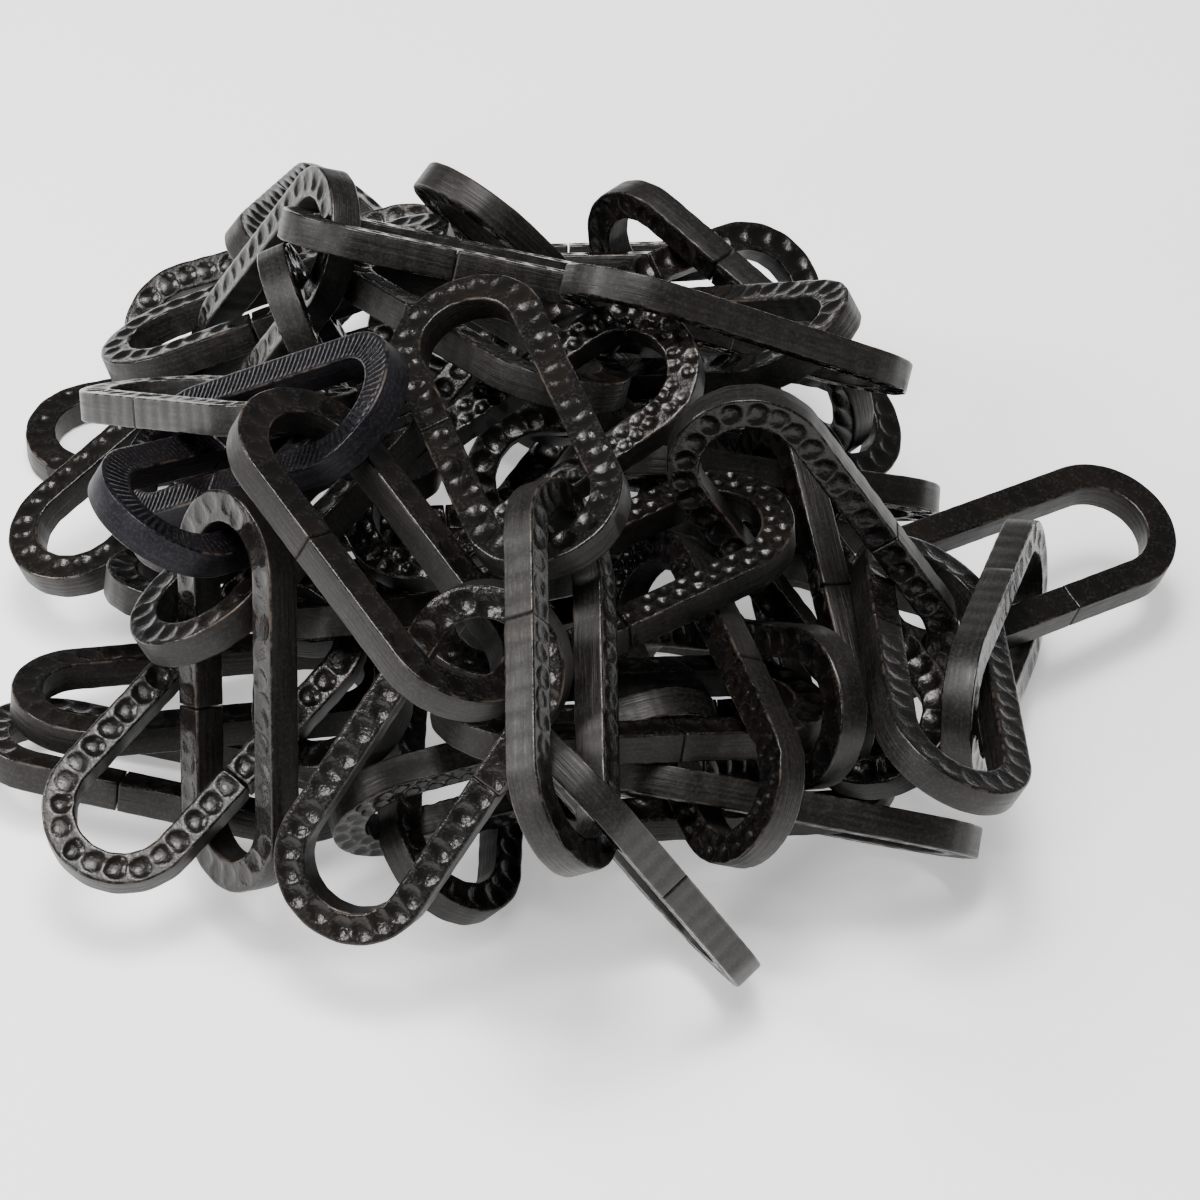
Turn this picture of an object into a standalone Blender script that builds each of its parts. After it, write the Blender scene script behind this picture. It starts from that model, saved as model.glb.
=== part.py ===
"""A heap of hammered iron chain, lying as it fell.

Every link is the same piece: one square bar bent into a long loop and butted on one straight side.
HEAP places the links one by one, and ease_apart then settles them against each other: it pushes the
bars clear, and draws a link that nothing touches back onto its nearest neighbour. Links give way mostly
along the photo's line of sight, so that the heap keeps its outline in that view.
"""

import math

import bmesh
import bpy
import numpy as np
from mathutils import Matrix

MM = 0.001

# One link, in millimetres
BAR = 6.0
HALF_STRAIGHT = 22.75
BOW_RADIUS = 12.25
BOW_STEPS = 8
SLIT = 0.6
SLIT_FROM_MIDDLE = -5.0
WELD = 0.1

# Settling, in millimetres
CLEARANCE = 0.45
CLOSE_ENOUGH = 0.75
DRAW_REACH = 4.0
GYRATION = 22.0
SETTLE_STEPS = 420
DRAW_FROM_STEP = 180
PUSH = 1.2
ROUNDING = 7

# The photo looks along +Y and down by this many degrees
SIGHT_DOWN = math.radians(42.0)
LINE_OF_SIGHT = np.array([0.0, math.cos(SIGHT_DOWN), -math.sin(SIGHT_DOWN)])
GIVE_ACROSS = 0.2

# Limits under which a length or an angle counts as none
TINY = 1e-9
NEARLY_PARALLEL = 0.08

# Finish
IRON_COLOUR = (0.022, 0.020, 0.019, 1.0)
IRON_ROUGHNESS = 0.42
IRON_METALLIC = 0.85

# Each link: name, then centre x, y and height in millimetres, then heading, rise and roll in degrees.
# Heading turns its long axis from +X, rise lifts that axis, and roll turns it about that axis (0 is flat).
HEAP = (
    # Front row, from the left
    ("front_link_1", -74, -40, 30, 52, 18, 15),
    ("front_link_2", -67, -46, 44, 86, 59, 132),
    ("front_link_3", -32, -70, 48, -154, -52, 141),
    ("front_link_4", -28, -32, 15, -92, -7, -39),
    ("front_link_5", -14, -49, 25, 12, 4, -73),
    ("front_link_6", -7, -70, 70, -91, -20, -62),
    ("front_link_7", 7, -83, 38, 18, -63, -15),
    ("front_link_8", 6, -48, 41, -164, 12, -168),
    ("front_link_9", 19, -41, 38, 108, 5, -58),
    ("front_link_10", 19, -41, 19, -170, 8, -5),
    ("front_link_11", 35, -53, 20, -176, 18, 44),
    # Left wing, from the floor up
    ("left_link_1", -83, -30, 8, -16, -2, -19),
    ("left_link_2", -77, -10, 10, -162, 9, 12),
    ("left_link_3", -82, 81, 3, 17, 0, 0),
    ("left_link_4", -62, 96, 21, 7, 14, 31),
    ("left_link_5", -86, 43, 25, 42, 17, -10),
    ("left_link_6", -73, 13, 62, -50, 32, -21),
    ("left_link_7", -65, 75, 39, 9, 19, -19),
    ("left_link_8", -59, -14, 58, 51, 14, -27),
    ("left_link_9", -68, -9, 59, -120, 33, -23),
    ("left_link_10", -64, -6, 72, -29, 38, 18),
    ("left_link_11", -51, 43, 43, -141, 72, -33),
    ("left_link_12", -61, 18, 36, -131, 14, 5),
    ("left_link_13", -65, 20, 15, -138, 19, 7),
    # Crown, the links that lie on top
    ("crown_link_1", -40, -46, 78, -51, -17, -18),
    ("crown_link_2", -17, -14, 81, -72, -3, 19),
    ("crown_link_3", 2, -30, 56, 29, 4, 0),
    ("crown_link_4", -15, 0, 64, 22, 24, 14),
    ("crown_link_5", -25, 48, 70, -2, -17, -34),
    ("crown_link_6", -23, 31, 67, -53, 12, -24),
    ("crown_link_7", -66, 60, 51, -28, 59, 38),
    ("crown_link_8", 26, 29, 68, -161, 34, 38),
    ("crown_link_9", -33, -4, 29, -135, 23, 29),
    # Right side and the tail that trails off to the right
    ("right_link_1", 41, -16, 52, 170, 49, -73),
    ("right_link_2", 42, -19, 30, -63, -3, 23),
    ("right_link_3", 39, -5, 30, 103, 23, -77),
    ("right_link_4", 25, -29, 26, -47, 29, 66),
    ("right_link_5", 41, 20, 22, -166, 30, 12),
    ("right_link_6", 33, 30, 29, -160, 26, 40),
    ("right_link_7", 28, 47, 36, -158, 28, -21),
    ("right_link_8", 11, 32, 28, -178, -1, -43),
    ("tail_link_1", 64, -36, 40, -90, 11, -39),
    ("tail_link_2", 76, -19, 29, -108, 13, -82),
    ("tail_link_3", 80, 12, 22, -142, 1, 172),
    # Back row, from the left
    ("back_link_1", -59, 111, 26, -102, 25, -31),
    ("back_link_2", -16, 87, 7, 146, 1, 13),
    ("back_link_3", -11, 99, 29, -174, 5, 32),
    ("back_link_4", -11, 90, 33, -158, 56, 22),
    ("back_link_5", 11, 69, 35, -151, 1, -41),
    ("back_link_6", 26, 74, 34, -42, -18, -89),
    ("back_link_7", 21, 50, 49, -40, 29, 7),
    # Inside, under the crown
    ("inner_link_1", -51, -9, 30, 95, 8, -18),
    ("inner_link_2", -34, 19, 13, -168, 1, -11),
    ("inner_link_3", -30, 48, 15, 53, 17, 20),
    ("inner_link_4", 15, 27, 3, 166, 0, 0),
)


def bow_angles():
    """Angles of the points round one bow, from one straight side to the other."""
    return np.radians(np.linspace(-90, 90, BOW_STEPS + 1))


def loop_points():
    """Centreline of a link in its own plane, a closed loop of points: right bow, then left bow."""
    angle = bow_angles()
    right = np.stack([HALF_STRAIGHT + BOW_RADIUS * np.cos(angle), BOW_RADIUS * np.sin(angle)], axis=1)
    return np.vstack([right, -right])


def bar_path():
    """The same centreline as one open path, from one lip of the butt slit round to the other."""
    loop = loop_points()
    lips = [(SLIT_FROM_MIDDLE + side * SLIT / 2, -BOW_RADIUS) for side in (1, -1)]
    return np.vstack([lips[:1], loop, lips[1:]])


def link_axes(heading, rise, roll):
    """Rotation matrix whose columns are the link's long axis, wide axis and face normal."""
    h, e, r = (math.radians(angle) for angle in (heading, rise, roll))
    long_axis = np.array([math.cos(h) * math.cos(e), math.sin(h) * math.cos(e), math.sin(e)])
    level = np.array([-math.sin(h), math.cos(h), 0.0])
    upright = np.cross(long_axis, level)
    wide = level * math.cos(r) + upright * math.sin(r)
    normal = upright * math.cos(r) - level * math.sin(r)
    return np.column_stack([long_axis, wide, normal])


class BarPieces:
    """The straight pieces that make up a link: centre, axes and half sizes of each, in the link's frame."""

    def __init__(self):
        start = loop_points()
        end = np.roll(start, -1, axis=0)
        length = np.linalg.norm(end - start, axis=1)
        along = (end - start) / length[:, None]
        mitre = BAR / 2 * math.tan(math.pi / BOW_STEPS / 2)
        count = len(start)
        self.centre = np.column_stack([(start + end) / 2, np.zeros(count)])
        self.axes = np.zeros((count, 3, 3))
        self.axes[:, 0, :2] = along
        self.axes[:, 1, 0] = -along[:, 1]
        self.axes[:, 1, 1] = along[:, 0]
        self.axes[:, 2, 2] = 1
        self.half_run = length / 2
        self.half = np.column_stack([length / 2 + mitre, np.full((count, 2), BAR / 2)])
        self.reach = np.linalg.norm(self.half, axis=1)


PIECES = BarPieces()
LINK_REACH = HALF_STRAIGHT + BOW_RADIUS + BAR


def near_pieces(centres, turns, within):
    """Pairs of bar pieces of two different links whose round bounds come nearer than within."""
    middle = np.einsum("nij,bj->nbi", turns, PIECES.centre) + centres[:, None]
    first, second = np.triu_indices(len(centres), 1)
    near = np.linalg.norm(centres[first] - centres[second], axis=1) < 2 * LINK_REACH
    first, second = first[near], second[near]
    apart = np.linalg.norm(middle[first][:, :, None] - middle[second][:, None], axis=3)
    bound = PIECES.reach[:, None] + PIECES.reach[None] + within
    pair, a, b = np.nonzero(apart < bound)
    return first[pair], second[pair], a, b, middle


def separations(centres, turns, within):
    """Bar pieces nearer than within: link i, link j, unit axis from i to j, gap and contact point.

    Two boxes are as far apart as the widest gap between their shadows on the 15 axes given by
    their faces and by the crossings of their edges.
    """
    i, j, a, b, middle = near_pieces(centres, turns, within)
    axes = np.einsum("nij,bkj->nbki", turns, PIECES.axes)
    axes_a, axes_b = axes[i, a], axes[j, b]
    half_a, half_b = PIECES.half[a], PIECES.half[b]
    offset = middle[j, b] - middle[i, a]
    crossed = np.cross(axes_a[:, :, None], axes_b[:, None]).reshape(len(i), 9, 3)
    size = np.linalg.norm(crossed, axis=2)
    parallel = size < NEARLY_PARALLEL
    crossed = crossed / np.maximum(size, TINY)[..., None]
    tested = np.concatenate([axes_a, axes_b, crossed], axis=1)
    shift = np.einsum("mki,mi->mk", tested, offset)
    shadow_a = np.einsum("mkl,ml->mk", np.abs(np.einsum("mki,mli->mkl", tested, axes_a)), half_a)
    shadow_b = np.einsum("mkl,ml->mk", np.abs(np.einsum("mki,mli->mkl", tested, axes_b)), half_b)
    gaps = np.abs(shift) - shadow_a - shadow_b
    gaps[:, 6:][parallel] = -np.inf
    best = gaps.argmax(axis=1)
    row = np.arange(len(i))
    gap = gaps[row, best]
    side = np.where(shift[row, best] < 0, -1, 1)[:, None]
    normal = tested[row, best] * side
    point = crossing_point(middle[i, a], axes_a[:, 0], PIECES.half_run[a],
                           middle[j, b], axes_b[:, 0], PIECES.half_run[b])
    kept = gap < within
    return i[kept], j[kept], normal[kept], gap[kept], point[kept]


def crossing_point(middle_a, along_a, run_a, middle_b, along_b, run_b):
    """Point half way between the nearest points of two straight centrelines."""
    between = middle_a - middle_b
    lean = (along_a * along_b).sum(axis=1)
    on_a = (along_a * between).sum(axis=1)
    on_b = (along_b * between).sum(axis=1)
    spread = np.maximum(1 - lean**2, TINY)
    t_a = np.clip((lean * on_b - on_a) / spread, -run_a, run_a)
    t_a = np.where(spread < NEARLY_PARALLEL**2, 0, t_a)
    t_b = np.clip(on_b + lean * t_a, -run_b, run_b)
    t_a = np.clip(lean * t_b - on_a, -run_a, run_a)
    return (middle_a + along_a * t_a[:, None] + middle_b + along_b * t_b[:, None]) / 2


def corner_points():
    """The corners of a link's bar section at each bend, in the link's frame."""
    loop = loop_points()
    outward = loop - np.column_stack([np.clip(loop[:, 0], -HALF_STRAIGHT, HALF_STRAIGHT), np.zeros(len(loop))])
    outward /= np.linalg.norm(outward, axis=1)[:, None]
    rings = []
    for across in (-1, 1):
        for up in (-1, 1):
            level = np.full(len(loop), up * BAR / 2)
            rings.append(np.column_stack([loop + outward * across * BAR / 2, level]))
    return np.vstack(rings)


def turned(angles):
    """Rotation matrix of each small rotation vector."""
    angle = np.linalg.norm(angles, axis=1)
    axis = angles / np.maximum(angle, TINY)[:, None]
    cross = np.zeros((len(angles), 3, 3))
    cross[:, 0, 1], cross[:, 0, 2] = -axis[:, 2], axis[:, 1]
    cross[:, 1, 0], cross[:, 1, 2] = axis[:, 2], -axis[:, 0]
    cross[:, 2, 0], cross[:, 2, 1] = -axis[:, 1], axis[:, 0]
    angle = angle[:, None, None]
    return np.eye(3) + np.sin(angle) * cross + (1 - np.cos(angle)) * (cross @ cross)


class Moves:
    """The moves and turns asked of each link in one step, each weighed by how far it has to go."""

    def __init__(self, count):
        self.shift = np.zeros((count, 3))
        self.turn = np.zeros((count, 3))
        self.weight = np.full(count, TINY)

    def ask(self, link, arm, direction, distance, share):
        """Asks that the point at arm on a link goes that distance along direction."""
        lever = np.cross(arm, direction)
        step = (distance * share * np.abs(distance))[:, None]
        np.add.at(self.shift, link, step * give(direction))
        np.add.at(self.turn, link, step * lever / GYRATION**2)
        np.add.at(self.weight, link, np.abs(distance))

    def made(self, centres, turns):
        """The links after the weighed mean of what was asked."""
        scale = PUSH / self.weight[:, None]
        centres = centres + self.shift * scale
        turns = turned(self.turn * scale) @ turns
        return np.round(centres, ROUNDING), np.round(turns, ROUNDING + 3)


def give(direction):
    """The way a link goes when pushed along direction: freely along the line of sight, less across it."""
    along = (direction @ LINE_OF_SIGHT)[:, None] * LINE_OF_SIGHT
    return along + GIVE_ACROSS * (direction - along)


def readiness(arm, direction):
    """How readily a point at arm on a link gives way along direction."""
    shift = (give(direction) * direction).sum(axis=1)
    turn = (np.cross(arm, direction) ** 2).sum(axis=1) / GYRATION**2
    return shift + turn


def ask_to_clear(moves, centres, turns, step):
    """Asks touching bars to part, and later a link with nothing near to close on its neighbour."""
    drawing = step >= DRAW_FROM_STEP
    within = DRAW_REACH if drawing else CLEARANCE
    i, j, normal, gap, point = separations(centres, turns, within)
    near = gap < CLEARANCE
    push_pair(moves, centres, i[near], j[near], normal[near], point[near], (CLEARANCE - gap)[near])
    if not drawing:
        return
    nearest = np.full(len(centres), np.inf)
    np.minimum.at(nearest, i, gap)
    np.minimum.at(nearest, j, gap)
    far = (gap > CLOSE_ENOUGH) & ((gap <= nearest[i]) | (gap <= nearest[j]))
    push_pair(moves, centres, i[far], j[far], normal[far], point[far], (CLEARANCE - gap)[far])


def push_pair(moves, centres, i, j, normal, point, distance):
    """Shares one distance between two links, so that together they open or close it."""
    arm_i, arm_j = point - centres[i], point - centres[j]
    share = 1 / (readiness(arm_i, normal) + readiness(arm_j, normal))
    moves.ask(i, arm_i, -normal, distance, share)
    moves.ask(j, arm_j, normal, distance, share)


def ask_off_floor(moves, centres, turns):
    """Asks links that dip below the floor to rise."""
    corners = np.einsum("nij,sj->nsi", turns, corner_points())
    link, corner = np.nonzero(corners[..., 2] + centres[:, None, 2] < 0)
    arm = corners[link, corner]
    depth = -(arm[:, 2] + centres[link, 2])
    up = np.tile([0.0, 0.0, 1.0], (len(link), 1))
    moves.ask(link, arm, up, depth, 1 / readiness(arm, up))


def ease_apart(centres, turns):
    """Settles the links: bars clear of each other, nothing below the floor and nothing left hanging."""
    for step in range(SETTLE_STEPS):
        moves = Moves(len(centres))
        ask_to_clear(moves, centres, turns, step)
        ask_off_floor(moves, centres, turns)
        centres, turns = moves.made(centres, turns)
    return centres, turns


def on_the_floor(centres, turns):
    """Puts the heap's box on the origin: middle of its footprint, lowest corner at height 0."""
    corners = np.einsum("nij,sj->nsi", turns, corner_points()) + centres[:, None]
    low = corners.min(axis=(0, 1))
    high = corners.max(axis=(0, 1))
    return centres - [(low[0] + high[0]) / 2, (low[1] + high[1]) / 2, low[2]]


def iron():
    """Near-black forged iron."""
    material = bpy.data.materials.new("Blackened iron")
    material.use_nodes = True
    shader = material.node_tree.nodes["Principled BSDF"]
    shader.inputs["Base Color"].default_value = IRON_COLOUR
    shader.inputs["Roughness"].default_value = IRON_ROUGHNESS
    shader.inputs["Metallic"].default_value = IRON_METALLIC
    return material


def poly_curve(name, points, closed):
    """A curve object of straight runs through points, in metres."""
    curve = bpy.data.curves.new(name, "CURVE")
    curve.dimensions = "3D"
    curve.twist_mode = "Z_UP"
    spline = curve.splines.new("POLY")
    spline.points.add(len(points) - 1)
    spline.use_cyclic_u = closed
    for spot, (x, y) in zip(spline.points, points):
        spot.co = (x * MM, y * MM, 0, 1)
    obj = bpy.data.objects.new(name, curve)
    bpy.context.scene.collection.objects.link(obj)
    return obj


def link_mesh(material):
    """One link: the square bar swept round its centreline, capped at both lips of the slit."""
    half = BAR / 2
    section = poly_curve("bar_section", ((-half, -half), (half, -half), (half, half), (-half, half)), True)
    bar = poly_curve("bent_bar", bar_path(), False)
    bar.data.bevel_mode = "OBJECT"
    bar.data.bevel_object = section
    bar.data.use_fill_caps = True
    graph = bpy.context.evaluated_depsgraph_get()
    mesh = bpy.data.meshes.new_from_object(bar.evaluated_get(graph))
    mesh.name = "chain_link"
    for helper in (bar, section):
        bpy.data.objects.remove(helper, do_unlink=True)
    shape = bmesh.new()
    shape.from_mesh(mesh)
    bmesh.ops.remove_doubles(shape, verts=shape.verts, dist=WELD * MM)
    bmesh.ops.recalc_face_normals(shape, faces=shape.faces)
    shape.to_mesh(mesh)
    shape.free()
    mesh.materials.clear()
    mesh.materials.append(material)
    return mesh


def clear_scene():
    for obj in list(bpy.data.objects):
        bpy.data.objects.remove(obj, do_unlink=True)


def build():
    clear_scene()
    heap = bpy.data.collections.new("Heap of iron chain")
    bpy.context.scene.collection.children.link(heap)
    mesh = link_mesh(iron())
    centres = np.array([place[1:4] for place in HEAP], dtype=float)
    turns = np.array([link_axes(*place[4:7]) for place in HEAP])
    centres, turns = ease_apart(centres, turns)
    centres = on_the_floor(centres, turns)
    for place, centre, axes in zip(HEAP, centres, turns):
        link = bpy.data.objects.new(place[0], mesh)
        heap.objects.link(link)
        link.location = centre * MM
        link.rotation_euler = Matrix(axes.tolist()).to_euler()


build()
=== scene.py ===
# %% [markdown]
# # A heap of hammered iron chain
# The real thing is a length of decorative chain, dropped in a heap: long links bent from square bar, both
# flat faces struck with a round punch, the finish near-black with brown wear on the corners.
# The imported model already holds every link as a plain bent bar. This script reads where each link lies,
# and puts a hammered link, made from one formula and one set of blows per link, in exactly that place.

import math
from types import SimpleNamespace

import bpy
import numpy as np
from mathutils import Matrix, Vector


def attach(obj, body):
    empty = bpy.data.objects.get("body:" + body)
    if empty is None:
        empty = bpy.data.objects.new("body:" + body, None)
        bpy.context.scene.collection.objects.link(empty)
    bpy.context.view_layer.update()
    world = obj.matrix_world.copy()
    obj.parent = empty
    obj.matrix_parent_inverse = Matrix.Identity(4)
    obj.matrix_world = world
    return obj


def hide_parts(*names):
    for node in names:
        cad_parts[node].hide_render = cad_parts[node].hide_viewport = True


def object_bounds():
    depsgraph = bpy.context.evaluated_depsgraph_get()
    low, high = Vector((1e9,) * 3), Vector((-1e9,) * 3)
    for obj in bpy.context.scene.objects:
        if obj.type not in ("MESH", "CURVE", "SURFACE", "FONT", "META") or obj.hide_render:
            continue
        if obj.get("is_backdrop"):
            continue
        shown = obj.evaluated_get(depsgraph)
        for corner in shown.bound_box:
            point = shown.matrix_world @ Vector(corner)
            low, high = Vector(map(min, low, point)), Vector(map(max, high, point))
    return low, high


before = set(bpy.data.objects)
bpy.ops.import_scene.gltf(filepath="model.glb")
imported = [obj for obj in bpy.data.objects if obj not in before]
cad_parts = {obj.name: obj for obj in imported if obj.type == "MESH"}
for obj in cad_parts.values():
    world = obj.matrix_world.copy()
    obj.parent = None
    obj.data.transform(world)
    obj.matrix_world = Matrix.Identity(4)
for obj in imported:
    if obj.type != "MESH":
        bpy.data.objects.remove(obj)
cad_low, cad_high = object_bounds()
LINKS = sorted(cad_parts)
print("links in the heap:", len(LINKS))
print("heap, in mm:", [round(side * 1000, 1) for side in cad_high - cad_low])

# %% [markdown]
# ## The bar and its loop
# A link is one square bar, bent round two bows and butted on a straight side, where a thin slit stays
# open. It could be drawn as a curve with a square section, but the marks on it are easier to place where
# every point is known by its distance along the bar. So the centreline is two motions added together: a
# shuttle that runs to and fro along the middle, and an arm of the bow's radius that turns half round
# whenever the shuttle waits at an end. One formula then gives straights and bows alike, and a point's
# outward direction is simply the arm's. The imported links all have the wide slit. Real ones are butted
# more or less tightly, so a hammered link may close up to the tight slit. Lengths on a link are given in
# millimetres here, and those of the floor, the lamps and the camera, further down, in metres.

# %% Centreline of a link
MM = 0.001
BAR = 6.0
HALF_STRAIGHT = 22.75
BOW_RADIUS = 12.25
SLIT = 0.6
TIGHT_SLIT = 0.25
SLIT_FROM_MIDDLE = -5.0
BOW_LENGTH = math.pi * BOW_RADIUS
LIP_AFTER = SLIT_FROM_MIDDLE + TIGHT_SLIT / 2
LIP_BEFORE = SLIT_FROM_MIDDLE - TIGHT_SLIT / 2
RUNS = [HALF_STRAIGHT - LIP_AFTER, BOW_LENGTH, 2 * HALF_STRAIGHT, BOW_LENGTH, HALF_STRAIGHT + LIP_BEFORE]
STATIONS = np.cumsum([0.0, *RUNS])
BAR_LENGTH = STATIONS[-1]


def arm_and_shuttle(along):
    """Arm angle and shuttle place at a distance along the bar: each holds still while the other moves."""
    angle = np.interp(along, STATIONS, [0, 0, math.pi, math.pi, 2 * math.pi, 2 * math.pi])
    places = [LIP_AFTER, HALF_STRAIGHT, HALF_STRAIGHT, -HALF_STRAIGHT, -HALF_STRAIGHT, LIP_BEFORE]
    return angle, np.interp(along, STATIONS, places)


def on_loop(along, out):
    """Points in the link's plane: shuttle plus arm, the arm made longer by out."""
    angle, shuttle = arm_and_shuttle(along)
    reach = BOW_RADIUS + out
    return np.stack([shuttle + reach * np.sin(angle), -reach * np.cos(angle)], axis=-1)


print("bar in one link, mm:", round(BAR_LENGTH, 1))

# %% [markdown]
# ## Where each link lies
# A packed link is a bag of loose triangles, so its place has to be found again. It could be written down
# here once more, but then the two lists could drift apart. Its long, wide and thin directions come from
# the spread of its corners. The bent bar's own corners are then laid over them in each of the four ways
# that look alike but for the slit, matched to their nearest corners a few times, and the way that fits
# best is kept. That gives the place, the three directions and the slit's side.

# %% Corners of a plain packed link
CAD_BOW_STEPS = 8


def cad_corners():
    """Corners of the plain packed link, in its own frame: four at each bend and at each lip."""
    turn = np.radians(np.linspace(-90, 90, CAD_BOW_STEPS + 1))
    bow = np.stack([HALF_STRAIGHT + BOW_RADIUS * np.cos(turn), BOW_RADIUS * np.sin(turn)], axis=1)
    outward = np.stack([np.cos(turn), np.sin(turn)], axis=1)
    lips = [[SLIT_FROM_MIDDLE + side * SLIT / 2, -BOW_RADIUS] for side in (1, -1)]
    middle = np.vstack([bow, -bow, lips])
    outward = np.vstack([outward, -outward, [[0, -1], [0, -1]]])
    rings = [np.column_stack([middle + outward * side, np.full(len(middle), up)])
             for side in (-BAR / 2, BAR / 2) for up in (-BAR / 2, BAR / 2)]
    return np.vstack(rings)


PATTERN = cad_corners()
print("corners of a plain link:", len(PATTERN))

# %% Find a link's place and directions
MATCHING_ROUNDS = 12
DECIMALS_OF_A_CORNER = 3


def laid_over(pattern, points, axes, centre):
    """Turns and moves the pattern onto its nearest points, again and again; returns the misfit too."""
    for _ in range(MATCHING_ROUNDS):
        placed = pattern @ axes.T + centre
        distance = np.linalg.norm(placed[:, None] - points[None], axis=2)
        target = points[distance.argmin(axis=1)]
        left, _, right = np.linalg.svd((target - target.mean(0)).T @ (pattern - pattern.mean(0)))
        axes = left @ np.diag([1, 1, np.linalg.det(left @ right)]) @ right
        centre = target.mean(0) - axes @ pattern.mean(0)
    return distance.min(axis=1).mean(), axes, centre


def place_of(name):
    """Misfit of a packed link in mm, the matrix of its long, wide and face directions, and its centre."""
    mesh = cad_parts[name].data
    points = np.zeros(len(mesh.vertices) * 3)
    mesh.vertices.foreach_get("co", points)
    points = np.unique(np.round(points.reshape(-1, 3) / MM, DECIMALS_OF_A_CORNER), axis=0)
    _, _, spread = np.linalg.svd(points - points.mean(0))
    axes = spread.T * [1, 1, np.linalg.det(spread)]
    ways = [axes * [a, b, a * b] for a in (1, -1) for b in (1, -1)]
    tried = [laid_over(PATTERN, points, way, points.mean(0)) for way in ways]
    return min(tried, key=lambda one: one[0])


PLACES = {name: place_of(name) for name in LINKS}
print("worst misfit of a link, mm:", round(max(place[0] for place in PLACES.values()), 3))

# %% [markdown]
# ## The blows
# Both flat faces of the real bar carry one row of round dents. A dent takes up most of the bar's width and
# just touches the next, so the metal left between two of them stands up as a thin ridge. On a few links
# the dents are smaller and crowded, to the left and right by turns. A machine strikes them, but not
# evenly: pitch, size and depth wander. The dents could be a pattern of light and shade in the finish, but
# they catch the light along the outline too, so they are shape. Each blow is a shallow bowl, and a point
# takes the deepest bowl that reaches it, which leaves a crisp ridge where two of them meet.

# %% Where the blows land
PITCH = 4.5
PITCH_WANDER = 0.28
LOOSE_PITCH_WANDER = 0.5
ROW_WANDER = 0.22
LOOSE_ROW_WANDER = 0.6
DENT_RADIUS = 2.35
RADIUS_SPREAD = (0.90, 1.06)
DENT_DEPTH = 0.52
DEPTH_SPREAD = (0.65, 1.25)
CROWDED_SIZE = 0.66
CROWDED_PITCH = 0.62
CROWDED_OFFSET = 1.35


def blows(chance, loose, force, crowded):
    """Blows down a face: where each lands along and across the bar, its radius, depth and skew. They make
    one row down the middle, or, where they are crowded, smaller ones to its left and right by turns."""
    size = CROWDED_SIZE if crowded else 1.0
    closeness = CROWDED_PITCH if crowded else 1.0
    count = int(BAR_LENGTH / (PITCH * size * closeness))
    along = (np.arange(count) + 0.5) * BAR_LENGTH / count
    along = along + chance.normal(0, PITCH_WANDER + LOOSE_PITCH_WANDER * loose, count)
    across = chance.normal(0, ROW_WANDER + LOOSE_ROW_WANDER * loose, count)
    if crowded:
        across = across + CROWDED_OFFSET * (-1.0) ** np.arange(count)
    radius = DENT_RADIUS * size * chance.uniform(*RADIUS_SPREAD, count)
    depth = DENT_DEPTH * force * chance.uniform(*DEPTH_SPREAD, count)
    skew = chance.uniform(0, 2 * math.pi, count)
    return along, across, radius, depth, skew


print("dents in one row down a face:", int(BAR_LENGTH / PITCH))

# %% Depth of the dents
RIM_HEIGHT = 0.05
RIM_WIDTH = 0.30
OVAL = 0.06
LUMPY = 0.04


def dented(plane_points, row):
    """Height left by a row of blows at points in the link's plane. A bowl is its depth times one less the
    squared share of the radius, and the deepest bowl counts. A faint rim stands round each. The radius is
    a little oval, twice a turn, and a little lumpy, three times a turn."""
    along, across, radius, depth, skew = row
    offset = plane_points[..., None, :] - on_loop(along, across)
    round_about = np.arctan2(offset[..., 1], offset[..., 0])
    lobes = OVAL * np.cos(2 * (round_about - skew)) + LUMPY * np.cos(3 * round_about + 5 * skew)
    away = np.linalg.norm(offset, axis=-1) / (radius * (1 + lobes))
    bowl = (-depth * np.clip(1 - away**2, 0, 1)).min(axis=-1)
    rim = np.exp(-(((away - 1) * radius / RIM_WIDTH) ** 2)).max(axis=-1)
    return bowl + RIM_HEIGHT * rim


print("a dent, mm across and deep:", 2 * DENT_RADIUS, DENT_DEPTH)

# %% [markdown]
# ## The ribbed die
# Two links of the heap were pressed with a ribbed die instead: fine ribs run straight across the faces.
# A row of thin blocks could be laid on the bar, but ribs that swell out of the metal and sink back into it
# near the edges are one smooth wave along the bar, held to the middle of the face.

# %% Press fine ribs across a face
RIB_PITCH = 1.35
RIB_DEPTH = 0.16
RIB_REACH = 2.3
RIB_FADE = 0.7


def ribbed(along, across):
    """Height left by a ribbed die: a cosine wave along the bar that dies out towards both edges."""
    wave = (1 - np.cos(2 * math.pi * along / RIB_PITCH)) / 2
    inside = np.clip((RIB_REACH - np.abs(across)) / RIB_FADE, 0, 1)
    return -RIB_DEPTH * wave * inside


print("ribs down a face:", int(BAR_LENGTH / RIB_PITCH))

# %% [markdown]
# ## The hammered link as a grid
# The dents could be cut out of a bar one by one, but cutting leaves ragged faces. Here the link's skin is
# one grid: rows go along the bar and columns round its section. The section is a square with small rounded
# corners, given by how far out each column lies and how high. The marks lower the two flat faces. Where a
# blow lands near an edge it also pushes the side out a little, which gives the real bar its scalloped
# outline. The columns run round the bar in the sense that makes every face of the grid point outwards.

# %% Section of the bar
CORNER = 0.4
FACE_COLUMNS = 14
SIDE_COLUMNS = 2
CORNER_STEPS = 2
FLAT_FACE, ROUND_CORNER, SMOOTH_SIDE = 0, 1, 2


def strip(out, up, part):
    """Columns of one part of the section: how far out and up each lies, and which part it belongs to."""
    return np.column_stack(np.broadcast_arrays(out, up, part))


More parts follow.
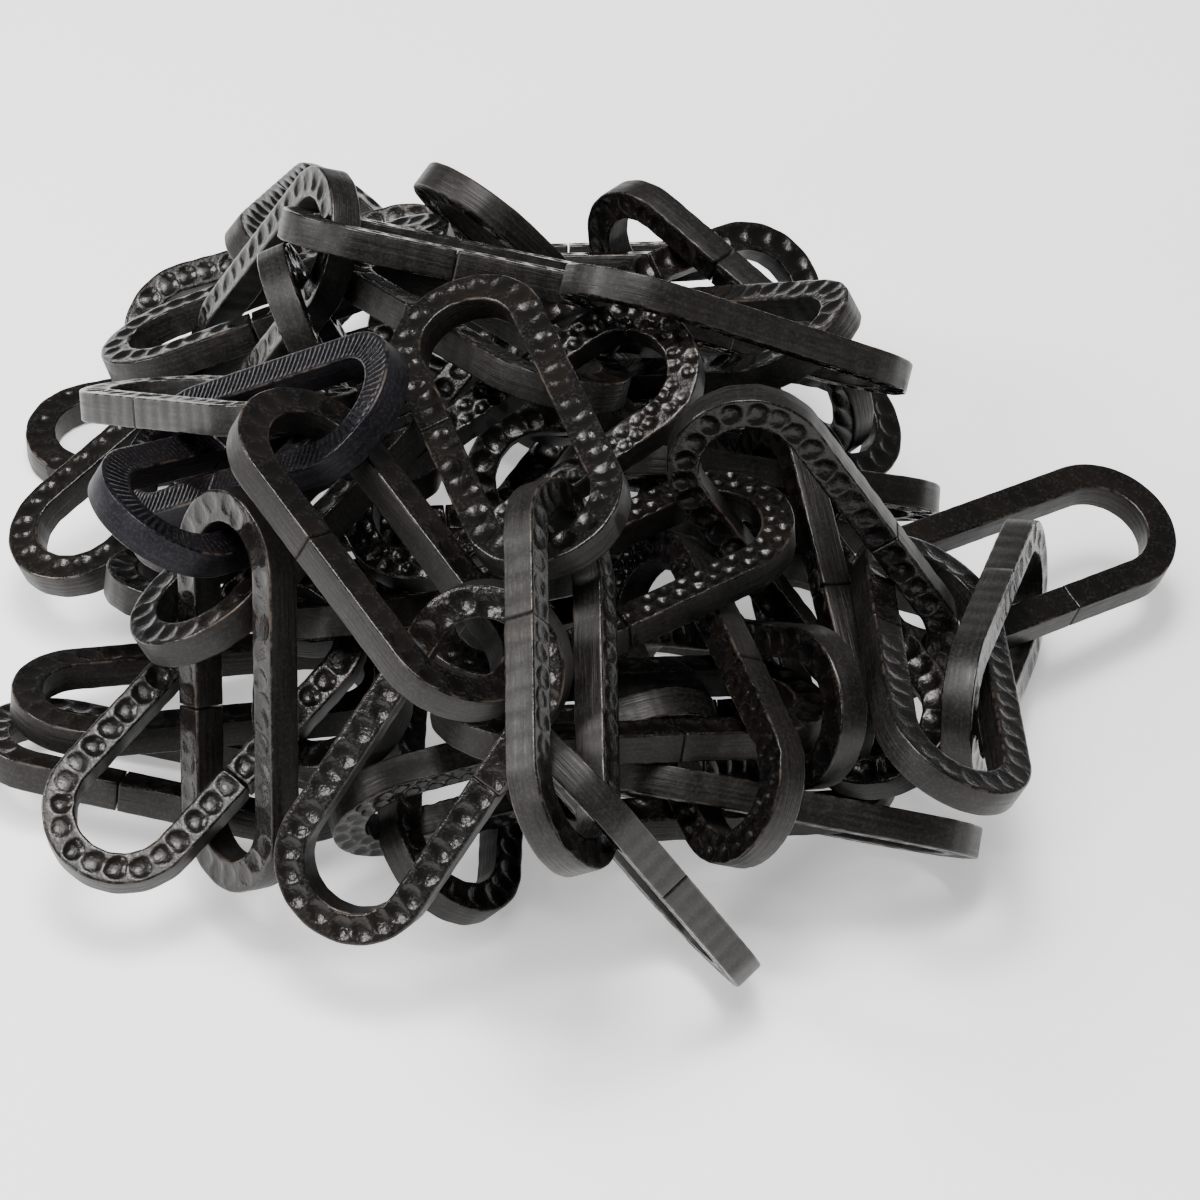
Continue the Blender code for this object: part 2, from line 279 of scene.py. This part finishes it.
def section():
    """Columns round the bar: a face, a corner, a side and a corner, then the same turned half round."""
    flat = BAR / 2 - CORNER
    bend = np.radians(np.arange(1, CORNER_STEPS + 1) * 90 / (CORNER_STEPS + 1))
    half = np.vstack([
        strip(np.linspace(flat, -flat, FACE_COLUMNS), BAR / 2, FLAT_FACE),
        strip(-flat - CORNER * np.sin(bend), flat + CORNER * np.cos(bend), ROUND_CORNER),
        strip(-BAR / 2, np.linspace(flat, -flat, SIDE_COLUMNS), SMOOTH_SIDE),
        strip(-flat - CORNER * np.cos(bend), -flat - CORNER * np.sin(bend), ROUND_CORNER),
    ])
    return np.vstack([half, half * [-1, -1, 1]])[::-1]


SECTION = section()
STEPS_ROUND = np.linalg.norm(np.diff(np.vstack([SECTION, SECTION[:1]])[:, :2], axis=0), axis=1)
GIRTH = np.concatenate([[0], np.cumsum(STEPS_ROUND)])
print("columns round the bar:", len(SECTION), "girth, mm:", round(GIRTH[-1], 1))

# %% Points of one hammered link
ROW_STEP = 0.45
RIB_ROW_STEP = 0.17
EDGE_PUSH = 0.16
PUSH_REACH = 0.8


def pushed_out(rows, side, row, force):
    """How far a row of blows pushes corners and sides out: a soft bell along the bar about each blow, times
    the squared height towards the struck face."""
    along, _, radius, _, _ = row
    beside = np.exp(-(((rows[:, None] - along) / (PUSH_REACH * radius)) ** 2)).max(axis=1)
    near_face = np.clip(SECTION[:, 1] * side / (BAR / 2), 0, 1) ** 2
    outward = np.sign(SECTION[:, 0]) * (SECTION[:, 2] != FLAT_FACE)
    return outward * near_face * EDGE_PUSH * force * beside[:, None]


def hammered(chance, loose, force, marks):
    """Skin of a link in its own frame, rows by columns by three, in mm, how hollow it is, and where the
    rows lie. The marks on its faces are "single", "crowded" or "ribs"."""
    trim = chance.uniform(0, SLIT - TIGHT_SLIT) / 2
    step = RIB_ROW_STEP if marks == "ribs" else ROW_STEP
    rows = np.linspace(trim, BAR_LENGTH - trim, int(BAR_LENGTH / step))
    faces = [(side, blows(chance, loose, force, marks == "crowded")) for side in (1, -1)]
    out = np.tile(SECTION[:, 0], (len(rows), 1))
    up = np.tile(SECTION[:, 1], (len(rows), 1))
    for side, row in faces:
        out = out + pushed_out(rows, side, row, force)
    plane = on_loop(rows[:, None], out)
    hollow = np.zeros_like(up)
    for side, row in faces:
        struck = SECTION[:, 1] * side > BAR / 2 - CORNER
        if marks == "ribs":
            height = ribbed(rows[:, None], SECTION[struck, 0])
        else:
            height = dented(plane[:, struck], row)
        up[:, struck] += side * height
        hollow[:, struck] = np.clip(-height / DENT_DEPTH, 0, 1)
    return np.dstack([plane, up]), hollow, rows


print("rows along a link:", int(BAR_LENGTH / ROW_STEP), "a ribbed one:", int(BAR_LENGTH / RIB_ROW_STEP))

# %% [markdown]
# ## From a grid to a mesh
# The grid closes on itself round the bar, and a fan of triangles closes it at each lip of the slit. Whole
# arrays are handed to the mesh at once, because that is many times faster than adding point by point.
# Beside the points, the mesh keeps four things that the finish needs: a map in centimetres, along the bar
# and round it, and three values that say where the corners are, where the smooth sides are, and how deep
# a dent is.

# %% Faces and map of a grid
CM = 10.0


def grid_faces(rows, columns):
    """Quads of a grid that closes round its columns, and the fans that cap its first and last row."""
    i, j = np.meshgrid(np.arange(rows - 1), np.arange(columns), indexing="ij")
    here = i * columns + j
    beside = i * columns + (j + 1) % columns
    quads = np.stack([here, beside, beside + columns, here + columns], axis=-1).reshape(-1, 4)
    ring = np.arange(columns)
    ahead = np.roll(ring, -1)
    end = (rows - 1) * columns
    first = np.stack([ahead, ring, np.full(columns, rows * columns)], axis=1)
    last = np.stack([end + ring, end + ahead, np.full(columns, rows * columns + 1)], axis=1)
    return quads, first, last


def grid_uv(rows_at, columns, shift):
    """Map of every corner of the quads: distance along the bar and round it, in cm, moved by a shift."""
    i, j = np.meshgrid(np.arange(len(rows_at) - 1), np.arange(columns), indexing="ij")
    along = np.stack([rows_at[i], rows_at[i], rows_at[i + 1], rows_at[i + 1]], axis=-1)
    around = np.stack([GIRTH[j], GIRTH[j + 1], GIRTH[j + 1], GIRTH[j]], axis=-1)
    return np.stack([along, around + shift], axis=-1).reshape(-1, 2) / CM


print("quads and fans of a grid of 3 rows and 4 columns:", [len(part) for part in grid_faces(3, 4)])


# %% Fill a mesh
def keep_value(mesh, name, values):
    """Stores one number for each point of a mesh, for the finish to read."""
    mesh.attributes.new(name, "FLOAT", "POINT").data.foreach_set("value", values.astype(np.float32))


def link_mesh(name, skin, hollow, rows_at, shift):
    """Mesh of one skin, in metres, with its map and values. The last two points are the lips' middles."""
    rows, columns = skin.shape[:2]
    lips = skin[[0, -1]].mean(axis=1)
    points = np.vstack([skin.reshape(-1, 3), lips]) * MM
    quads, first, last = grid_faces(rows, columns)
    fans = len(first) + len(last)
    corners = np.concatenate([quads.ravel(), first.ravel(), last.ravel()])
    sizes = np.concatenate([np.full(len(quads), 4), np.full(fans, 3)])
    mesh = bpy.data.meshes.new(name)
    mesh.vertices.add(len(points))
    mesh.vertices.foreach_set("co", points.ravel())
    mesh.loops.add(len(corners))
    mesh.loops.foreach_set("vertex_index", corners)
    mesh.polygons.add(len(sizes))
    mesh.polygons.foreach_set("loop_start", np.concatenate([[0], np.cumsum(sizes)[:-1]]))
    mesh.polygons.foreach_set("use_smooth", np.ones(len(sizes), dtype=bool))
    mesh.update(calc_edges=True)
    uv = np.vstack([grid_uv(rows_at, columns, shift), np.zeros((3 * fans, 2))])
    mesh.uv_layers.new(name="bar").data.foreach_set("uv", uv.ravel())
    part = np.tile(SECTION[:, 2], rows)
    keep_value(mesh, "corner", np.concatenate([part == ROUND_CORNER, [0, 0]]))
    keep_value(mesh, "smooth_side", np.concatenate([part == SMOOTH_SIDE, [1, 1]]))
    keep_value(mesh, "hollow", np.concatenate([hollow.ravel(), [0, 0]]))
    return mesh


print("points of a link's mesh:", int(BAR_LENGTH / ROW_STEP) * len(SECTION) + 2)

# %% [markdown]
# ## Shader sums written as Python
# A finish is a sum of small things: drawn streaks, flecks, worn corners. Built as nodes by hand it is hard
# to read, so a small class wraps a socket and lets plain + - * add the Math nodes. A second class stands
# for a material under way. It adds every other node in one manner: its kind, its settings, its sockets.


# %% A socket that can be reckoned with
class Shade:
    """A number that varies over a surface; sums on it become Math nodes."""

    def __init__(self, finish, socket):
        self.finish = finish
        self.socket = socket

    def reckon(self, operation, first, second):
        """A Math node on two numbers, either of which may vary."""
        return self.finish.node("ShaderNodeMath", {"operation": operation}, {0: first, 1: second})

    def __add__(self, other):
        return self.reckon("ADD", self, other)

    def __sub__(self, other):
        return self.reckon("SUBTRACT", self, other)

    def __rsub__(self, other):
        return self.reckon("SUBTRACT", other, self)

    def __mul__(self, other):
        return self.reckon("MULTIPLY", self, other)

    __radd__ = __add__
    __rmul__ = __mul__


print("a socket can now be added, taken away and multiplied")

# %% A material under way
# These outputs and inputs are picked by their number, because some of them share a name.
OBJECT_SPACE = 3
ATTRIBUTE_NUMBER = 2
MIX_SHARE, MIX_FIRST, MIX_SECOND, MIXED_COLOUR = 0, 6, 7, 2


class Finish:
    """A material under way: node() adds any node, and shader is its Principled BSDF."""

    def __init__(self, name):
        self.material = bpy.data.materials.new(name)
        self.material.use_nodes = True
        self.tree = self.material.node_tree
        self.shader = self.tree.nodes["Principled BSDF"]

    def put(self, socket, value):
        """Links what varies to a socket, or sets the socket to a plain value."""
        if isinstance(value, Shade):
            self.tree.links.new(value.socket, socket)
        else:
            socket.default_value = value

    def node(self, kind, settings, sockets, output=0):
        """Adds a node of a kind, with its settings first and its sockets after them."""
        made = self.tree.nodes.new(kind)
        for key, value in settings.items():
            setattr(made, key, value)
        for key, value in sockets.items():
            self.put(made.inputs[key], value)
        return Shade(self, made.outputs[output])

    def noise(self, where, stretch, scale, detail):
        """Smooth noise from 0 to 1 over stretched coordinates."""
        placed = self.node("ShaderNodeMapping", {}, {"Vector": where, "Scale": stretch})
        return self.node("ShaderNodeTexNoise", {}, {"Vector": placed, "Scale": scale, "Detail": detail})

    def kept(self, name):
        """A number that the mesh keeps for each of its points."""
        return self.node("ShaderNodeAttribute", {"attribute_name": name}, {}, output=ATTRIBUTE_NUMBER)

    def between(self, value, low, high):
        """0 at low, 1 at high, and a soft step between. Low may be the larger of the two."""
        sockets = {"Value": value, "From Min": low, "From Max": high}
        return self.node("ShaderNodeMapRange", {"interpolation_type": "SMOOTHSTEP"}, sockets)

    def mixed(self, share, first, second):
        """The first colour, with a share of the second laid over it."""
        sockets = {MIX_SHARE: share, MIX_FIRST: first, MIX_SECOND: second}
        return self.node("ShaderNodeMix", {"data_type": "RGBA"}, sockets, output=MIXED_COLOUR)


print("a finish starts with one shader and adds nodes to it")

# %% [markdown]
# ## Patterns on the iron
# The bar was drawn through a die, so its smooth sides carry fine streaks along the bar. The struck faces
# are finely crinkled, and flecks and broad patches lie over everything. Streaks have to follow the bar
# round its bows, so their noise reads the mesh's own map, much stretched along the bar. The others have no
# direction, so they read the object's own space, which has no seam.

# %% Noises and kept values
EVEN = (1, 1, 1)
STREAK_STRETCH = (0.35, 7, 1)
SCRATCH_STRETCH = (0.5, 22, 1)
DRAWN_SCALE = 2.0
PATCH_SCALE = 70.0
FLECK_SCALE = 420.0
CRINKLE_SCALE = 800.0
GRAIN_SCALE = 1700.0
ROUGH_DETAIL = 3.0
FINE_DETAIL = 2.0


def iron_patterns(iron):
    """All that varies over the iron: noises from 0 to 1, and the values that the mesh keeps."""
    along_bar = iron.node("ShaderNodeUVMap", {"uv_map": "bar"}, {})
    solid = iron.node("ShaderNodeTexCoord", {}, {}, output=OBJECT_SPACE)
    return SimpleNamespace(
        streak=iron.noise(along_bar, STREAK_STRETCH, DRAWN_SCALE, ROUGH_DETAIL),
        scratch=iron.noise(along_bar, SCRATCH_STRETCH, DRAWN_SCALE, FINE_DETAIL),
        patch=iron.noise(solid, EVEN, PATCH_SCALE, ROUGH_DETAIL),
        fleck=iron.noise(solid, EVEN, FLECK_SCALE, ROUGH_DETAIL),
        grain=iron.noise(solid, EVEN, GRAIN_SCALE, FINE_DETAIL),
        crinkle=iron.noise(solid, EVEN, CRINKLE_SCALE, FINE_DETAIL),
        corner=iron.kept("corner"),
        side=iron.kept("smooth_side"),
        hollow=iron.kept("hollow"),
    )


NOISE_SCALES = (PATCH_SCALE, FLECK_SCALE, CRINKLE_SCALE, GRAIN_SCALE)
print("patches, flecks, crinkles and grains, mm:", [round(1 / scale / MM, 1) for scale in NOISE_SCALES])

# %% [markdown]
# ## Colour of the iron
# The black is thin. In patches it has a brown cast, and the streaks on the sides are greyed. The lands
# between the dents are made lighter than the dents: partly rubbed, and partly a painted sheen that leaves
# painted shade in the dents. Along the corners it is rubbed to bare grey, which also paints a highlight
# along the edges, and worn to brown, in broken stretches. One colour with a bright edge all along would
# look like paint, so every layer here is laid on through a noise, and all but the brown cast only where the
# mesh says that there is a side, a land or a corner.

# %% Layers of colour
BLACK_IRON = (0.0025, 0.0023, 0.0022, 1)
BROWNED_IRON = (0.0053, 0.0040, 0.0032, 1)
GREYED_IRON = (0.0080, 0.0074, 0.0069, 1)
# Grey for rubbed lands and corners, also laid on as a painted sheen on the lands and a painted highlight on
# the edges.
RUB_AND_HIGHLIGHT_IRON = (0.0425, 0.0400, 0.0380, 1)
BROWN_WEAR = (0.0550, 0.0370, 0.0270, 1)
BROWNED_FROM_TO = (0.45, 0.62)
GREYED_FROM_TO = (0.42, 0.66)
# The lands between the dents are lightened, partly as rubbing and partly as a painted sheen; the dents stay
# dark as painted shade.
LAND_RUB_AND_SHEEN_FROM_TO = (0.35, 0.0)
LAND_SHEEN_GRAIN_FROM_TO = (0.45, 0.70)
# Where the corners turn grey: rubbing, and a painted highlight along the edges.
EDGE_RUB_AND_HIGHLIGHT_FROM_TO = (0.48, 0.62)
WORN_FROM_TO = (0.50, 0.63)
LAND_RUB_AND_SHEEN_SHARE = 0.25
EDGE_RUB_AND_HIGHLIGHT_SHARE = 0.5
WORN_SHARE = 0.7


def tinted(colour, tint):
    """A colour times a tint, part by part."""
    return [part * share for part, share in zip(colour, tint)]


def iron_colour(iron, over, tint):
    """Black, browned in patches, greyed on the sides, lighter on the lands and corners, where it is partly
    rubbed and partly a painted sheen on the lands and a painted highlight on the edges, and worn to brown.
    Where two noises are blended, their weights add up to one, so the blend runs from 0 to 1 as they do."""
    # Corners lightened to grey: partly rubbed metal, partly a painted highlight along the edges.
    edge_rub_and_highlight = over.corner * iron.between(over.fleck * 0.6 + over.patch * 0.4, *EDGE_RUB_AND_HIGHLIGHT_FROM_TO)
    worn = over.corner * iron.between(over.fleck * 0.5 + over.patch * 0.5, *WORN_FROM_TO)
    greyed = over.side * iron.between(over.streak * 0.7 + over.scratch * 0.3, *GREYED_FROM_TO)
    # Lands lightened in grainy specks, dents left dark: partly rubbing, partly painted sheen, with painted
    # shade in the dents.
    land_rub_and_sheen = iron.between(over.hollow, *LAND_RUB_AND_SHEEN_FROM_TO) * iron.between(over.grain, *LAND_SHEEN_GRAIN_FROM_TO)
    browned = iron.between(over.patch, *BROWNED_FROM_TO)
    colour = iron.mixed(browned, tinted(BLACK_IRON, tint), tinted(BROWNED_IRON, tint))
    colour = iron.mixed(greyed, colour, tinted(GREYED_IRON, tint))
    colour = iron.mixed(land_rub_and_sheen * LAND_RUB_AND_SHEEN_SHARE, colour, RUB_AND_HIGHLIGHT_IRON)
    colour = iron.mixed(edge_rub_and_highlight * EDGE_RUB_AND_HIGHLIGHT_SHARE, colour, RUB_AND_HIGHLIGHT_IRON)
    return iron.mixed(worn * WORN_SHARE, colour, BROWN_WEAR)


print("black of the iron, red, green and blue:", BLACK_IRON[:3])

# %% [markdown]
# ## Gloss and relief of the iron
# The faces are glossy, and each crinkle glints by itself. The sides are satin, duller along the streaks,
# which also stand up a little, in some stretches more than in others. A mirror-like black would pick up the
# pale floor and turn grey, and so would a rough one. A low index of refraction keeps the mirror image weak
# instead, and the bars stay near-black with small sharp glints.

# %% Roughness and bump
GLOSS = 0.18
FLECK_DULLS = 0.10
STREAK_DULLS = 0.30
SCRATCH_DULLS = 0.14
STREAK_HEIGHT = 1.2
SCRATCH_HEIGHT = 0.50
FLECK_HEIGHT = 0.30
GRAIN_HEIGHT = 0.40
GRAIN_LOST_ON_SIDES = 0.7
CRINKLE_HEIGHT = 0.75
DRAWN_FROM_TO = (0.32, 0.58)
BUMP_STRENGTH = 0.7
BUMP_DEPTH = 0.18 * MM


def iron_roughness(over):
    """Glossy, a little duller at flecks, and on the sides duller along streaks and scratches."""
    drawn = over.streak * STREAK_DULLS + over.scratch * SCRATCH_DULLS
    return GLOSS + over.fleck * FLECK_DULLS + drawn * over.side


def iron_bump(iron, over):
    """Streaks and scratches on the sides, in stretches, and flecks, grain and crinkles added to them."""
    drawn = over.streak * STREAK_HEIGHT + over.scratch * SCRATCH_HEIGHT
    drawn = drawn * over.side * iron.between(over.patch, *DRAWN_FROM_TO)
    grain = over.grain * (1 - over.side * GRAIN_LOST_ON_SIDES) * GRAIN_HEIGHT
    crinkle = over.crinkle * (1 - over.side) * CRINKLE_HEIGHT
    relief = drawn + over.fleck * FLECK_HEIGHT + grain + crinkle
    sockets = {"Height": relief, "Strength": BUMP_STRENGTH, "Distance": BUMP_DEPTH}
    return iron.node("ShaderNodeBump", {}, sockets)


print("roughness of a face without flecks:", GLOSS)

# %% [markdown]
# ## Two finishes
# Most links share one finish. The two ribbed ones look bluer and mirror less, as if they came from another
# batch. Two materials written out in full would have to be kept alike by hand, so one recipe makes both
# from three things: a tint of the black, how strongly it mirrors, and the tint of its gloss.

# %% Mix the two finishes
PLAIN_TINT = (1.0, 1.0, 1.0, 1)
PLAIN_IOR = 1.36
PLAIN_GLOSS_TINT = (1.0, 0.965, 0.93, 1)
RIBBED_TINT = (1.05, 1.05, 1.6, 1)
RIBBED_IOR = 1.24
RIBBED_GLOSS_TINT = (0.92, 0.93, 1.0, 1)


def blackened_iron(name, tint, ior, gloss_tint):
    """Near-black iron with all its layers: patterns first, then colour, mirror, roughness and bump."""
    iron = Finish(name)
    over = iron_patterns(iron)
    iron.put(iron.shader.inputs["Base Color"], iron_colour(iron, over, tint))
    iron.put(iron.shader.inputs["Metallic"], 0.0)
    iron.put(iron.shader.inputs["IOR"], ior)
    iron.put(iron.shader.inputs["Specular Tint"], gloss_tint)
    iron.put(iron.shader.inputs["Roughness"], iron_roughness(over))
    iron.put(iron.shader.inputs["Normal"], iron_bump(iron, over))
    return iron.material


plain_iron = blackened_iron("blackened iron", PLAIN_TINT, PLAIN_IOR, PLAIN_GLOSS_TINT)
ribbed_iron = blackened_iron("ribbed iron", RIBBED_TINT, RIBBED_IOR, RIBBED_GLOSS_TINT)
print("finishes:", plain_iron.name, "and", ribbed_iron.name)

# %% [markdown]
# ## Hammer every link and lay it in its place
# The links of a real chain differ: some are struck faintly, some loosely. One link could be copied over
# the whole heap, but the same dent would then come back in every copy. Each link draws its own blows from
# a seed of its own instead, so no two look alike, and a rerun gives the same heap. A link's skin is worked
# out in its own frame and then turned and moved as a whole array, so its object stays at the origin.

# %% Lay the links
FIRST_SEED = 100
# How far the row wanders, from 0 for an even row to 1, and how often each case comes.
LOOSENESS = [0.0, 0.15, 0.5]
LOOSENESS_ODDS = [0.6, 0.25, 0.15]
MAP_SHIFT = 50.0
RIBBED_LINKS = ("left_link_9", "left_link_10")
CROWDED_LINKS = ("crown_link_3", "crown_link_4", "front_link_9", "front_link_5")
# Share of the full depth of a blow.
FAINTLY_STRUCK = {
    "front_link_2": 0.45, "front_link_3": 0.65, "front_link_6": 0.7, "crown_link_1": 0.45,
    "left_link_1": 0.6, "left_link_2": 0.5, "left_link_8": 0.7, "left_link_9": 0.2, "left_link_10": 0.2,
    "tail_link_1": 0.3, "tail_link_2": 0.7, "tail_link_3": 0.3,
}


def hammered_link(name, number):
    """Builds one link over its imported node."""
    chance = np.random.default_rng(FIRST_SEED + number)
    loose = chance.choice(LOOSENESS, p=LOOSENESS_ODDS)
    force = FAINTLY_STRUCK.get(name, 1.0)
    marks = "ribs" if name in RIBBED_LINKS else "crowded" if name in CROWDED_LINKS else "single"
    skin, hollow, rows_at = hammered(chance, loose, force, marks)
    _, axes, centre = PLACES[name]
    mesh = link_mesh(name + "_hammered", skin @ axes.T + centre, hollow, rows_at, MAP_SHIFT * number)
    mesh.materials.append(ribbed_iron if marks == "ribs" else plain_iron)
    link = bpy.data.objects.new(name + "_hammered", mesh)
    bpy.context.scene.collection.objects.link(link)
    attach(link, "root")
    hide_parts(name)
    return link


laid = [hammered_link(name, number) for number, name in enumerate(LINKS)]
print("hammered links:", len(laid), "faces in all:", sum(len(link.data.polygons) for link in laid))

# %% [markdown]
# ## The floor
# The photo is a cut-out on white with a soft shadow, so the floor is a plain pale sheet. White under soft
# light alone comes out grey, and brighter lamps would burn the glints, so the sheet also glows a little.

# %% Floor
FLOOR_HALF = 3.0
FLOOR_HEIGHT = -0.2 * MM
FLOOR_WHITE = (0.94, 0.94, 0.94, 1)
FLOOR_ROUGHNESS = 0.9
FLOOR_GLOW = 0.45
WHITE = (1, 1, 1, 1)


def floor():
    """A square sheet just under the heap: each corner is half a side out along both axes."""
    mesh = bpy.data.meshes.new("floor")
    signs = ((-1, -1), (1, -1), (1, 1), (-1, 1))
    corners = [(x * FLOOR_HALF, y * FLOOR_HALF, FLOOR_HEIGHT) for x, y in signs]
    mesh.from_pydata(corners, [], [(0, 1, 2, 3)])
    paper = Finish("pale floor")
    paper.put(paper.shader.inputs["Base Color"], FLOOR_WHITE)
    paper.put(paper.shader.inputs["Roughness"], FLOOR_ROUGHNESS)
    paper.put(paper.shader.inputs["Emission Color"], WHITE)
    paper.put(paper.shader.inputs["Emission Strength"], FLOOR_GLOW)
    mesh.materials.append(paper.material)
    made = bpy.data.objects.new("floor", mesh)
    bpy.context.scene.collection.objects.link(made)
    made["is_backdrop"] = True


floor()
print("floor, metres across:", 2 * FLOOR_HALF)

# %% [markdown]
# ## The light
# The grey left-hand sides and the small glints in the dents tell where the light stood: a soft sheet on
# the left, a smaller one at the front left that makes the glints, and one overhead. The overhead light is
# two sheets: a small one for the shadow under the heap, and a wide one, fainter for its size, that softens
# it. One big sheet would light the heap as well, but it would wash the glints out.

# %% Lamps and sky
LIT_POINT = Vector((0, 0, 0.03))
SKY = 0.24
# Place and side of each sheet in metres, and its power in watts.
LAMPS = {
    "left": ((-0.84, 0.02, 0.62), 0.28, 8.4),
    "front left": ((-0.68, -0.66, 0.46), 0.20, 4.8),
    "overhead core": ((-0.02, -0.06, 1.10), 0.28, 7.2),
    "overhead": ((-0.08, -0.15, 1.12), 0.80, 15.0),
}


def softbox(name, place, size, power):
    """A square sheet of light that faces the heap."""
    light = bpy.data.lights.new(name, "AREA")
    light.energy = power
    light.size = size
    made = bpy.data.objects.new(name, light)
    made.location = place
    made.rotation_euler = (LIT_POINT - Vector(place)).to_track_quat("-Z", "Y").to_euler()
    bpy.context.scene.collection.objects.link(made)


for name, (place, size, power) in LAMPS.items():
    softbox(name, place, size, power)
world = bpy.data.worlds.new("studio")
world.use_nodes = True
background = world.node_tree.nodes["Background"]
background.inputs["Color"].default_value = WHITE
background.inputs["Strength"].default_value = SKY
bpy.context.scene.world = world
print("lamps:", len(LAMPS), "power in all, watts:", sum(power for _, _, power in LAMPS.values()))

# %% [markdown]
# ## The camera
# The photo looks down at the heap at a little over forty degrees, from about a metre. The camera aims at
# the point of the heap that lies at the middle of the picture, and its lens follows from how many pixels
# of the picture a metre of the heap takes up.

# %% Camera
AIM = Vector((0.0029, -0.0197, 0.0251))
DISTANCE = 1.0
ELEVATION = math.radians(42)
PIXELS_PER_METRE = 5150
PICTURE = 1200
SENSOR = 36

camera = bpy.data.cameras.new("camera")
camera.sensor_width = SENSOR
camera.lens = SENSOR * PIXELS_PER_METRE * DISTANCE / PICTURE
eye = bpy.data.objects.new("camera", camera)
back = Vector((0, -math.cos(ELEVATION), math.sin(ELEVATION)))
eye.location = AIM + back * DISTANCE
eye.rotation_euler = (math.pi / 2 - ELEVATION, 0, 0)
bpy.context.scene.collection.objects.link(eye)
bpy.context.scene.camera = eye
print("lens, mm:", round(camera.lens, 1))

# %% [markdown]
# ## The sizes
# Hammering must not change the size of the heap, so the boxes before and after are kept side by side.

# %% Compare the sizes
low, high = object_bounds()
grown = [*(cad_low - low), *(high - cad_high)]
print("grown past the packed box, mm:", [round(x * 1000, 2) for x in grown])
